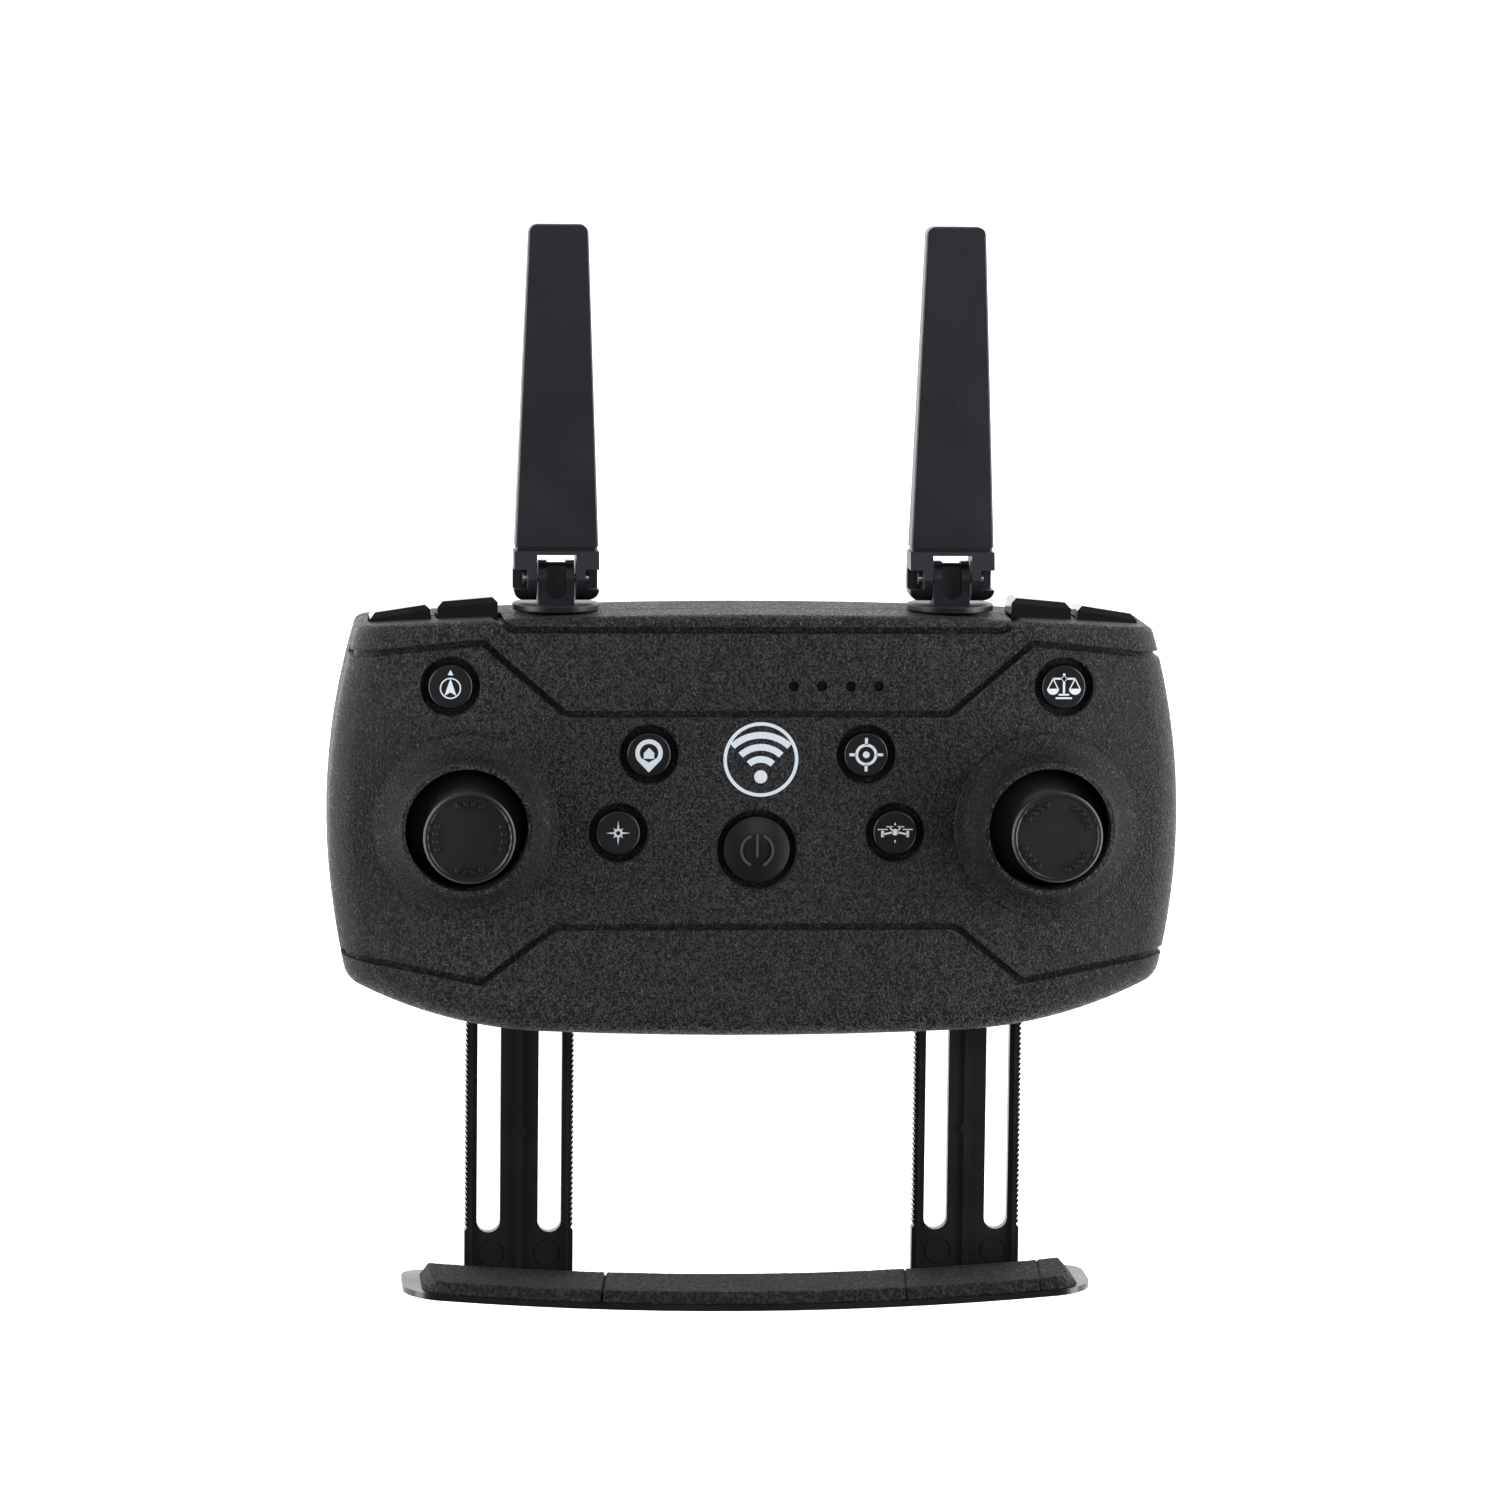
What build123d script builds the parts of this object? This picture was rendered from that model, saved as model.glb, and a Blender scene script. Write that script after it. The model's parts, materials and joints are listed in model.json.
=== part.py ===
from build123d import *
import math
import os

os.makedirs("parts", exist_ok=True)

# ---------------------------------------------------------------- dimensions
# Transmitter lying on its back: +Z out of the face, +Y towards the antennas.
# All plan coordinates below are measured from the middle of the housing,
# which sits BODY_Y away from the origin (origin = centre of the footprint).
BODY_Y = -9.15

FACE_Z = 40.0          # flat front face
SEAM_Z = 27.0          # parting line of the two housing halves
BACK_Z = 12.0          # flat back face between the hand grips
WALL = 2.2
EDGE_R = 5.0           # rolled left, bottom and right edges
TOP_R = 1.7            # tight edge along the antenna side
CORNER_R = 5.5         # bottom corners in plan

TOP_MID = 40.0         # outline: middle of the top arc
TOP_X, TOP_Y = 75.3, 37.6
SIDE_X, SIDE_Y = 80.85, 1.5
BOT_MID = -41.0
BOT_R1, BOT_X1, BOT_R2, BOT_X2 = 900.0, 40.0, 85.0, 77.3

STICK_X, STICK_Y = 55.1, 0.0
PIVOT_Z = 34.0
DOME_R = 12.5
DOME_IN = 11.3
HOLE_R = 11.6
RIM_Z = 46.5
MOUND_R = 17.6
CAP_R = 8.6
CAP_Z0, CAP_Z1 = 52.0, 56.5

BTN_R = 4.15
BTN_HOLE_R = 4.45
BTN_RECESS_R = 5.6
POWER_XY = (0.0, -4.6)
POWER_R = 6.25
POWER_HOLE_R = 6.55
POWER_RECESS_R = 7.5
FACE_BUTTONS = {
    "button_compass": (-58.1, 26.4),
    "button_level": (58.1, 26.4),
    "button_home": (-20.6, 13.5),
    "button_gps": (20.6, 13.5),
    "button_headless": (-26.3, -1.4),
    "button_rotor": (26.3, -1.4),
}
LED_X = (6.7, 12.05, 17.5, 22.8)
LED_Y = 26.5
LED_HOLE_R = 0.95

ANT_X = 37.7
ANT_AXIS_Y = 45.7      # fold pin
ANT_TOP = 112.7
TIP_R = 1.7
DISC_R = 8.25

RACK_X = 43.5
RACK_HALF = 10.5
RACK_Z0, RACK_Z1 = 16.5, 19.5
RACK_TOP, RACK_END = -9.5, -93.2
BAR_MID = -94.4
BAR_R = 706.0
BAR_HALF = 66.3
PAD_HALF = 64.4
BAR_Z1 = 37.0

PCB_Z0, PCB_Z1 = 25.0, 26.6
CELL_R, CELL_LEN, CELL_PITCH = 5.25, 44.5, 11.3
CELL_Y, CELL_Z = -6.0, 13.2

SHELL_BOSSES = ((-69.5, 14.0), (69.5, 14.0), (-18.0, 34.0), (18.0, 34.0), (-22.0, -34.5), (22.0, -34.5))
PCB_POSTS = ((-40.0, 20.0), (40.0, 20.0), (-34.0, -25.0), (34.0, -25.0), (0.0, 19.0), (0.0, -25.0))
SHOULDERS = {
    "shoulder_left_outer": (-73.0, -61.6, -67.0, 37.4),
    "shoulder_left_inner": (-60.3, -48.9, -51.6, 38.9),
    "shoulder_right_inner": (48.9, 60.3, 51.6, 38.9),
    "shoulder_right_outer": (61.6, 73.0, 67.0, 37.4),
}


def at(x, y, z):
    return (x, BODY_Y + y, z)


def top(z, x=0.0, y=0.0):
    return Plane(origin=at(x, y, z), x_dir=(1, 0, 0), z_dir=(0, 0, 1))


def front(y, x=0.0, z=0.0):
    # local x = +X, local y = +Z, extrudes towards -Y
    return Plane(origin=at(x, y, z), x_dir=(1, 0, 0), z_dir=(0, -1, 0))


def side(x, y=0.0, z=0.0):
    # local x = +Y, local y = +Z, extrudes towards +X
    return Plane(origin=at(x, y, z), x_dir=(0, 1, 0), z_dir=(1, 0, 0))


# ---------------------------------------------------------------- outline
A1 = math.asin(BOT_X1 / BOT_R1)
Y1 = BOT_MID + BOT_R1 - BOT_R1 * math.cos(A1)
C2X = BOT_X1 - BOT_R2 * math.sin(A1)
C2Y = Y1 + BOT_R2 * math.cos(A1)
A2 = math.asin((BOT_X2 - C2X) / BOT_R2)
AM = (A1 + A2) / 2


def bottom_point(a):
    return (C2X + BOT_R2 * math.sin(a), C2Y - BOT_R2 * math.cos(a))


P1 = (BOT_X1, Y1)
PM = bottom_point(AM)
P2 = bottom_point(A2)


def outline_sketch(plane, inset=0.0, corner=CORNER_R):
    with BuildSketch(plane) as sk:
        with BuildLine():
            ThreePointArc((-TOP_X, TOP_Y), (0, TOP_MID), (TOP_X, TOP_Y))
            ThreePointArc((TOP_X, TOP_Y), (SIDE_X, SIDE_Y), P2)
            ThreePointArc(P2, PM, P1)
            ThreePointArc(P1, (0, BOT_MID), (-P1[0], P1[1]))
            ThreePointArc((-P1[0], P1[1]), (-PM[0], PM[1]), (-P2[0], P2[1]))
            ThreePointArc((-P2[0], P2[1]), (-SIDE_X, SIDE_Y), (-TOP_X, TOP_Y))
        make_face()
        if inset:
            offset(amount=-inset, kind=Kind.INTERSECTION)
        fillet([v for v in sk.vertices() if abs(v.X) > 70 and v.Y < -20], radius=max(corner - inset, 1.0))
    return sk


def housing_block(inset, z0, z1, r_side, r_top, seam=0.0):
    """Outline extruded from z0 to z1; the far perimeter is rolled over."""
    with BuildPart() as b:
        extrude(outline_sketch(top(z0), inset).sketch, amount=z1 - z0)
        far = b.faces().sort_by(Axis.Z)[-1 if z1 > z0 else 0]
        rim = far.edges().sort_by(Axis.Y)
        fillet(rim[:-1], radius=r_side)
        if r_top:
            wall = [f for f in b.faces() if f.center().Y > BODY_Y + TOP_MID - inset - 3.0
                    and abs(f.center().X) < 5.0 and abs(f.normal_at(f.center()).Z) < 0.2][0]
            chain = [e for e in wall.edges() if abs(e.center().Z - z0) > 0.3]
            fillet(chain, radius=r_top)
        if seam:
            near = b.faces().sort_by(Axis.Z)[0 if z1 > z0 else -1]
            chamfer(near.outer_wire().edges(), seam)
    return b.part


# styling grooves of the face, as centre lines
GROOVES = (
    [(-52.5, 45.0), (-50.0, 39.6), (-46.6, 37.1), (46.6, 37.1), (50.0, 39.6), (52.5, 45.0)],
    [(-86.0, 32.0), (-77.5, 32.2), (-52.0, 34.7), (-36.4, 21.2), (36.4, 21.2), (52.0, 34.7), (77.5, 32.2), (86.0, 32.0)],
    [(-86.0, -23.0), (-78.0, -24.4), (-52.0, -30.0), (-38.0, -19.4), (38.0, -19.4), (51.0, -30.0), (78.0, -24.4), (86.0, -23.0)],
)

outer_front = housing_block(0.0, SEAM_Z, FACE_Z, EDGE_R, TOP_R, 0.25)
inset_front = housing_block(0.9, SEAM_Z - 1.0, FACE_Z - 0.9, EDGE_R - 0.9, 0.9)
inner_front = housing_block(WALL, SEAM_Z - 1.0, FACE_Z - WALL, EDGE_R - WALL, 0.0)

with BuildPart() as groove_bands:
    for pts in GROOVES:
        with BuildSketch(top(SEAM_Z - 0.5)):
            with BuildLine():
                FilletPolyline(*pts, radius=2.2)
                offset(amount=0.65, side=Side.BOTH)
            make_face()
        extrude(amount=FACE_Z - SEAM_Z + 2.0)
    add(inset_front, mode=Mode.SUBTRACT)

# ---------------------------------------------------------------- front shell
with BuildPart() as front_shell:
    add(outer_front)
    add(groove_bands.part, mode=Mode.SUBTRACT)
    # flared stick surrounds
    for sx in (-1, 1):
        with BuildSketch(side(sx * STICK_X, STICK_Y)) as prof:
            with BuildLine():
                l1 = Polyline((6.0, 39.0), (MOUND_R, 39.0), (MOUND_R, 40.25), (MOUND_R - 0.35, 40.6))
                l2 = Spline((MOUND_R - 0.35, 40.6), (15.3, 41.5), (13.6, 43.6), (12.75, 46.2),
                            tangents=[(-1, 0.18), (-0.22, 1)])
                l3 = Polyline((12.75, 46.2), (12.45, RIM_Z), (6.0, RIM_Z), (6.0, 39.0))
            make_face()
        revolve(axis=Axis(at(sx * STICK_X, STICK_Y, 0), (0, 0, 1)))
    add(inner_front, mode=Mode.SUBTRACT)
    for sx in (-1, 1):
        with Locations(at(sx * STICK_X, STICK_Y, PIVOT_Z)):
            Sphere(DOME_R + 0.5, mode=Mode.SUBTRACT)
        with BuildSketch(top(PIVOT_Z, sx * STICK_X, STICK_Y)):
            Circle(HOLE_R)
        extrude(amount=20, mode=Mode.SUBTRACT)
    # button recesses, guide holes and their bright bevels
    for x, y in FACE_BUTTONS.values():
        with BuildSketch(top(FACE_Z, x, y)):
            Circle(BTN_RECESS_R)
        extrude(amount=-1.45, mode=Mode.SUBTRACT)
        with BuildSketch(top(FACE_Z, x, y)):
            Circle(BTN_HOLE_R)
        extrude(amount=-4, mode=Mode.SUBTRACT)
        with Locations(at(x, y, FACE_Z - 0.25)):
            Cone(BTN_RECESS_R, BTN_RECESS_R + 0.25, 0.25, align=(Align.CENTER, Align.CENTER, Align.MIN), mode=Mode.SUBTRACT)
    px, py = POWER_XY
    with BuildSketch(top(FACE_Z, px, py)):
        Circle(POWER_RECESS_R)
    extrude(amount=-1.45, mode=Mode.SUBTRACT)
    with BuildSketch(top(FACE_Z, px, py)):
        Circle(POWER_HOLE_R)
    extrude(amount=-4, mode=Mode.SUBTRACT)
    with Locations(at(px, py, FACE_Z - 0.3)):
        Cone(POWER_RECESS_R, POWER_RECESS_R + 0.3, 0.3, align=(Align.CENTER, Align.CENTER, Align.MIN), mode=Mode.SUBTRACT)
    for x in LED_X:
        with BuildSketch(top(FACE_Z, x, LED_Y)):
            Circle(LED_HOLE_R)
        extrude(amount=-4, mode=Mode.SUBTRACT)
        with Locations(at(x, LED_Y, FACE_Z - 0.15)):
            Cone(LED_HOLE_R, LED_HOLE_R + 0.15, 0.15, align=(Align.CENTER, Align.CENTER, Align.MIN), mode=Mode.SUBTRACT)
    # screw bosses down to the parting line, board posts down to the board
    with BuildSketch(top(SEAM_Z)):
        for x, y in SHELL_BOSSES:
            with Locations((x, y)):
                Circle(3.0)
    extrude(amount=FACE_Z - WALL - SEAM_Z + 0.6)
    with BuildSketch(top(PCB_Z1)):
        for x, y in PCB_POSTS:
            with Locations((x, y)):
                Circle(2.5)
    extrude(amount=FACE_Z - WALL - PCB_Z1 + 0.6)
    with BuildSketch(top(PCB_Z1 - 0.1)):
        for x, y in SHELL_BOSSES + PCB_POSTS:
            with Locations((x, y)):
                Circle(1.0)
    extrude(amount=8.5, mode=Mode.SUBTRACT)
    # stiffening ribs across the inside of the face
    for y, x0, x1 in ((-14.5, -36.0, 36.0), (30.5, -30.0, 30.0)):
        with BuildSketch(top(FACE_Z - WALL - 2.0)):
            with Locations(((x0 + x1) / 2, y)):
                Rectangle(x1 - x0, 1.2)
        extrude(amount=2.4)
    # shoulder button windows (upper half) and antenna neck holes
    for x0, x1, xs, yt in SHOULDERS.values():
        with BuildSketch(top(SEAM_Z - 1.0)):
            with Locations(((x0 + x1) / 2, 37.0)):
                Rectangle(x1 - x0 + 0.5, 10.0)
        extrude(amount=1.0 + 5.15, mode=Mode.SUBTRACT)
    for sx in (-1, 1):
        with BuildSketch(front(42.0, sx * ANT_X, SEAM_Z)):
            Circle(4.76)
        extrude(amount=6.0, mode=Mode.SUBTRACT)
front_shell.part.label = "front_shell"
export_step(front_shell.part, "parts/front_shell.step")

# ---------------------------------------------------------------- back shell
outer_back = housing_block(0.0, SEAM_Z, BACK_Z, EDGE_R, TOP_R, 0.25)
inner_back = housing_block(WALL, SEAM_Z + 1.0, BACK_Z + WALL, EDGE_R - WALL, 0.0)

GRIP_X, GRIP_Y = 67.0, -5.0


def grip(sx, grow, z_low):
    with BuildPart() as g:
        with BuildSketch(top(BACK_Z + 1.5)):
            with Locations((sx * GRIP_X, GRIP_Y)):
                RectangleRounded(21.0 + 2 * grow, 60.0 + 2 * grow, 9.5 + grow)
        with BuildSketch(top(z_low)):
            with Locations((sx * (GRIP_X + 1.0), GRIP_Y - 1.0)):
                RectangleRounded(15.0 + 2 * grow, 48.0 + 2 * grow, 6.8 + grow)
        loft()
        if grow == 0:
            fillet(g.faces().sort_by(Axis.Z)[0].edges(), radius=2.5)
    return g.part


with BuildPart() as back_shell:
    add(outer_back)
    for sx in (-1, 1):
        add(grip(sx, 0.0, 0.0))
    # battery bulge
    with BuildSketch(top(BACK_Z + 0.5)):
        with Locations((0, -5.6)):
            RectangleRounded(64.0, 43.6, 5.0)
    with BuildSketch(top(6.0)):
        with Locations((0, -5.6)):
            RectangleRounded(61.0, 41.0, 4.0)
    loft()
    add(inner_back, mode=Mode.SUBTRACT)
    for sx in (-1, 1):
        add(grip(sx, -WALL, 2.2), mode=Mode.SUBTRACT)
        with BuildSketch(top(BACK_Z)):
            with Locations((sx * GRIP_X, GRIP_Y)):
                RectangleRounded(21.0 - 2 * WALL, 60.0 - 2 * WALL, 9.5 - WALL)
        extrude(amount=WALL + 0.4, mode=Mode.SUBTRACT)
    # battery box inside the housing
    with BuildSketch(top(BACK_Z + 0.5)):
        with Locations((0, CELL_Y)):
            Rectangle(57.6, 38.6)
    extrude(amount=20.4 - BACK_Z - 0.5)
    with BuildSketch(top(5.0)):
        with Locations((0, CELL_Y)):
            Rectangle(54.0, 35.0)
    extrude(amount=18.9 - 5.0, mode=Mode.SUBTRACT)
    # seat and side grooves of the sliding cover, open towards -Y
    with BuildSketch(top(5.9)):
        with Locations((0, -9.4)):
            Rectangle(57.6, 37.0 + 7.0)
    extrude(amount=7.8 - 5.9, mode=Mode.SUBTRACT)
    with BuildSketch(top(6.7)):
        with Locations((0, -9.4)):
            Rectangle(59.8, 37.0 + 7.0)
    extrude(amount=1.1, mode=Mode.SUBTRACT)
    with BuildSketch(top(5.0)):
        with Locations((0, -29.0)):
            Rectangle(70.0, 7.2)
    extrude(amount=BACK_Z - 5.0, mode=Mode.SUBTRACT)
    # ribs between the cells
    for k in (-0.5, 0.5):
        with BuildSketch(top(15.5)):
            with Locations((0, CELL_Y + k * CELL_PITCH)):
                Rectangle(44.0, 0.5)
        extrude(amount=3.6)
    # rack channels: side ribs and two rails each, open at the bottom edge
    for sx in (-1, 1):
        with BuildSketch(top(BACK_Z + 1.0)):
            with Locations((sx * (RACK_X - RACK_HALF - 1.1), -2.5)):
                Rectangle(1.6, 71.0)
            with Locations((sx * (RACK_X + RACK_HALF + 1.1), -2.5)):
                Rectangle(1.6, 71.0)
        extrude(amount=20.0 - BACK_Z - 1.0)
        with BuildSketch(top(BACK_Z + 1.0)):
            for dx in (-1.8, 1.8):
                with Locations((sx * RACK_X + dx, -2.5)):
                    Rectangle(1.6, 71.0)
        extrude(amount=RACK_Z0 - 0.25 - BACK_Z - 1.0)
        with BuildSketch(top(BACK_Z + 1.0)):
            for y in (-24.0, 18.0):
                with Locations((sx * 57.3, y)):
                    Circle(1.9)
        extrude(amount=20.0 - BACK_Z - 1.0)
        with BuildSketch(top(15.0)):
            for y in (-24.0, 18.0):
                with Locations((sx * 57.3, y)):
                    Circle(0.8)
        extrude(amount=6.0, mode=Mode.SUBTRACT)
        with BuildSketch(top(RACK_Z0 - 0.3)):
            with Locations((sx * RACK_X, -40.0)):
                Rectangle(2 * RACK_HALF + 0.6, 9.0)
        extrude(amount=RACK_Z1 - RACK_Z0 + 0.6, mode=Mode.SUBTRACT)
    # screw columns
    for x, y in SHELL_BOSSES:
        low = 1.2 if abs(x) > 60 else BACK_Z + 1.0
        with BuildSketch(top(low, x, y)):
            Circle(3.6)
        extrude(amount=SEAM_Z - low)
        seat = 18.0 if abs(x) > 60 else 15.2
        with BuildSketch(top(-1.0, x, y)):
            Circle(1.25)
        extrude(amount=SEAM_Z + 2.0, mode=Mode.SUBTRACT)
        with BuildSketch(top(-1.0, x, y)):
            Circle(2.6)
        extrude(amount=seat + 1.0, mode=Mode.SUBTRACT)
    # shoulder button windows (lower half) and antenna neck holes
    for x0, x1, xs, yt in SHOULDERS.values():
        with BuildSketch(top(SEAM_Z + 1.0)):
            with Locations(((x0 + x1) / 2, 37.0)):
                Rectangle(x1 - x0 + 0.5, 10.0)
        extrude(amount=-(1.0 + 4.85), mode=Mode.SUBTRACT)
    for sx in (-1, 1):
        with BuildSketch(front(42.0, sx * ANT_X, SEAM_Z)):
            Circle(4.76)
        extrude(amount=6.0, mode=Mode.SUBTRACT)
back_shell.part.label = "back_shell"
export_step(back_shell.part, "parts/back_shell.step")


# ---------------------------------------------------------------- fasteners
def screw(x, y, z, head_r, head_h, shank_r, length):
    """Pan head below z, shank above it, cross recess in the head."""
    with BuildSketch(top(z, x, y)) as disc:
        Circle(head_r)
    extrude(disc.sketch, amount=-head_h)
    with BuildSketch(top(z, x, y)) as rod:
        Circle(shank_r)
    extrude(rod.sketch, amount=length)
    with BuildSketch(top(z - head_h, x, y)) as cross:
        Rectangle(head_r * 1.2, 0.45)
        Rectangle(0.45, head_r * 1.2)
    extrude(cross.sketch, amount=head_h * 0.6, mode=Mode.SUBTRACT)


with BuildPart() as shell_screws:
    for x, y in SHELL_BOSSES:
        screw(x, y, 18.0 if abs(x) > 60 else 15.2, 2.3, 1.5, 1.0, 34.5 - (18.0 if abs(x) > 60 else 15.2))
shell_screws.part.label = "shell_screws"
export_step(shell_screws.part, "parts/shell_screws.step")

with BuildPart() as pcb_screws:
    for x, y in PCB_POSTS:
        screw(x, y, PCB_Z0, 1.9, 1.2, 1.0, 8.0)
pcb_screws.part.label = "pcb_screws"
export_step(pcb_screws.part, "parts/pcb_screws.step")

with BuildPart() as rack_cover_screws:
    for sx in (-1, 1):
        for y in (-24.0, 18.0):
            with BuildSketch(top(21.2, sx * 57.3, y)):
                Circle(1.6)
            extrude(amount=1.1)
            with BuildSketch(top(21.2, sx * 57.3, y)):
                Circle(0.8)
            extrude(amount=-6.0)
            with BuildSketch(top(22.3, sx * 57.3, y)):
                Rectangle(2.0, 0.4)
                Rectangle(0.4, 2.0)
            extrude(amount=-0.7, mode=Mode.SUBTRACT)
rack_cover_screws.part.label = "rack_cover_screws"
export_step(rack_cover_screws.part, "parts/rack_cover_screws.step")

# ---------------------------------------------------------------- electronics
with BuildPart() as main_pcb:
    with BuildSketch(top(PCB_Z0)) as board:
        with Locations((0, -0.5)):
            Rectangle(136.0, 59.0)
        chamfer(board.vertices(), 5.0)
        for x, y in PCB_POSTS:
            with Locations((x, y)):
                Circle(1.05, mode=Mode.SUBTRACT)
        for x, y in SHELL_BOSSES[:2]:
            with Locations((x, y)):
                Circle(4.3, mode=Mode.SUBTRACT)
    extrude(amount=PCB_Z1 - PCB_Z0)
main_pcb.part.label = "main_pcb"
export_step(main_pcb.part, "parts/main_pcb.step")

with BuildPart() as ic_chips:
    for x, y, w, h in ((-8.0, -16.0, 7.0, 7.0), (12.0, -16.0, 5.0, 6.0), (-36.0, 6.0, 4.0, 5.0), (36.0, 8.0, 4.0, 5.0)):
        with BuildSketch(top(PCB_Z1, x, y)):
            Rectangle(w, h)
        extrude(amount=1.2)
ic_chips.part.label = "ic_chips"
export_step(ic_chips.part, "parts/ic_chips.step")

with BuildPart() as rf_module:
    with BuildSketch(top(PCB_Z0, 0.0, 8.0)):
        Rectangle(16.0, 12.0)
    extrude(amount=-0.8)
    with BuildSketch(top(PCB_Z0 - 0.8, 1.0, 8.0)):
        Rectangle(10.0, 9.0)
    extrude(amount=-1.8)
rf_module.part.label = "rf_module"
export_step(rf_module.part, "parts/rf_module.step")

with BuildPart() as buzzer:
    with BuildSketch(top(PCB_Z1, 0.0, 9.5)):
        Circle(4.5)
    extrude(amount=4.5)
    fillet(buzzer.faces().sort_by(Axis.Z)[-1].edges(), radius=0.4)
    with BuildSketch(top(PCB_Z1 + 4.5, 0.0, 9.5)):
        Circle(0.9)
    extrude(amount=-2.0, mode=Mode.SUBTRACT)
buzzer.part.label = "buzzer"
export_step(buzzer.part, "parts/buzzer.step")

with BuildPart() as indicator_leds:
    for x in LED_X:
        with BuildSketch(top(PCB_Z1, x, LED_Y)):
            Circle(1.5)
        extrude(amount=8.0)
        with BuildSketch(top(PCB_Z1 + 8.0, x, LED_Y)):
            Circle(0.85)
        extrude(amount=FACE_Z - 1.5 - PCB_Z1 - 8.0)
indicator_leds.part.label = "indicator_leds"
export_step(indicator_leds.part, "parts/indicator_leds.step")

with BuildPart() as tact_switches:
    for x, y in list(FACE_BUTTONS.values()) + [POWER_XY]:
        with BuildSketch(top(PCB_Z1, x, y)):
            Rectangle(6.0, 6.0)
        extrude(amount=3.5)
        with BuildSketch(top(PCB_Z1 + 3.5, x, y)):
            Circle(1.7)
        extrude(amount=1.55)
    for x0, x1, xs, yt in SHOULDERS.values():
        with BuildSketch(top(PCB_Z1, xs, 26.7)):
            Rectangle(5.0, 4.6)
        extrude(amount=4.6)
        with BuildSketch(front(29.0, xs, PCB_Z1 + 2.3)):
            Circle(1.3)
        extrude(amount=-2.0)
tact_switches.part.label = "tact_switches"
export_step(tact_switches.part, "parts/tact_switches.step")

# ---------------------------------------------------------------- batteries
with BuildPart() as battery_cells:
    for k in (-1, 0, 1):
        y = CELL_Y + k * CELL_PITCH
        s = -1 if k == 0 else 1
        with BuildSketch(side(-CELL_LEN / 2 + (1.0 if s < 0 else 0.0), y, CELL_Z)):
            Circle(CELL_R)
        extrude(amount=CELL_LEN - 1.0)
        with BuildSketch(side(s * (CELL_LEN / 2 - 1.0), y, CELL_Z)):
            Circle(2.6)
        extrude(amount=s * 1.0)
battery_cells.part.label = "battery_cells"
export_step(battery_cells.part, "parts/battery_cells.step")

with BuildPart() as battery_springs:
    for k in (-1, 0, 1):
        y = CELL_Y + k * CELL_PITCH
        s = 1 if k == 0 else -1
        with BuildLine() as coil:
            Helix(pitch=1.0, height=3.4, radius=3.2, center=at(s * 26.25, y, CELL_Z), direction=(-s, 0, 0))
        with BuildSketch(Plane(origin=coil.line @ 0, z_dir=coil.line % 0)):
            Circle(0.25)
        sweep(is_frenet=True)
battery_springs.part.label = "battery_springs"
export_step(battery_springs.part, "parts/battery_springs.step")

with BuildPart() as battery_plates:
    for s in (-1, 1):
        for k in (-1, 0, 1):
            with BuildSketch(side(s * 26.95, CELL_Y + k * CELL_PITCH, CELL_Z)):
                RectangleRounded(8.4, 8.4, 1.0)
            extrude(amount=-s * 0.4)
battery_plates.part.label = "battery_plates"
export_step(battery_plates.part, "parts/battery_plates.step")

with BuildPart() as battery_door:
    with BuildSketch(top(6.0)):
        with Locations((0, -8.0)):
            Rectangle(57.0, 40.0)
    extrude(amount=1.6)
    with BuildSketch(top(6.95)):
        with Locations((0, -8.0)):
            Rectangle(59.2, 40.0)
    extrude(amount=0.65)
    with BuildSketch(top(6.0)):
        with Locations((0, -27.3)):
            Rectangle(60.0, 1.4)
    extrude(amount=5.6)
    # thumb ribs
    for i in range(5):
        with BuildSketch(top(6.1)):
            with Locations((0, -15.0 - 1.8 * i)):
                Rectangle(16.0, 0.8)
        extrude(amount=-0.45)
battery_door.part.label = "battery_door"
export_step(battery_door.part, "parts/battery_door.step")

# ---------------------------------------------------------------- rack covers, pawls
with BuildPart() as rack_covers:
    for sx in (-1, 1):
        with BuildSketch(top(20.0)):
            with Locations((sx * 45.1, -3.5)):
                Rectangle(29.0, 58.0)
            for y in (-24.0, 18.0):
                with Locations((sx * 57.3, y)):
                    Circle(0.85, mode=Mode.SUBTRACT)
        extrude(amount=1.2)
rack_covers.part.label = "rack_covers"
export_step(rack_covers.part, "parts/rack_covers.step")

with BuildPart() as ratchet_pawls:
    for sx in (-1, 1):
        x0 = sx * (RACK_X + RACK_HALF + 1.9)
        with BuildSketch(top(15.5)):
            with BuildLine():
                Polyline((x0, 20.0), (x0 + sx * 0.8, 20.0), (x0 + sx * 1.8, 33.8), (x0 - sx * 1.55, 34.6),
                         (x0 - sx * 1.55, 33.9), (x0 + sx * 0.9, 33.0), (x0, 20.0))
            make_face()
        extrude(amount=3.6)
ratchet_pawls.part.label = "ratchet_pawls"
export_step(ratchet_pawls.part, "parts/ratchet_pawls.step")

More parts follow.
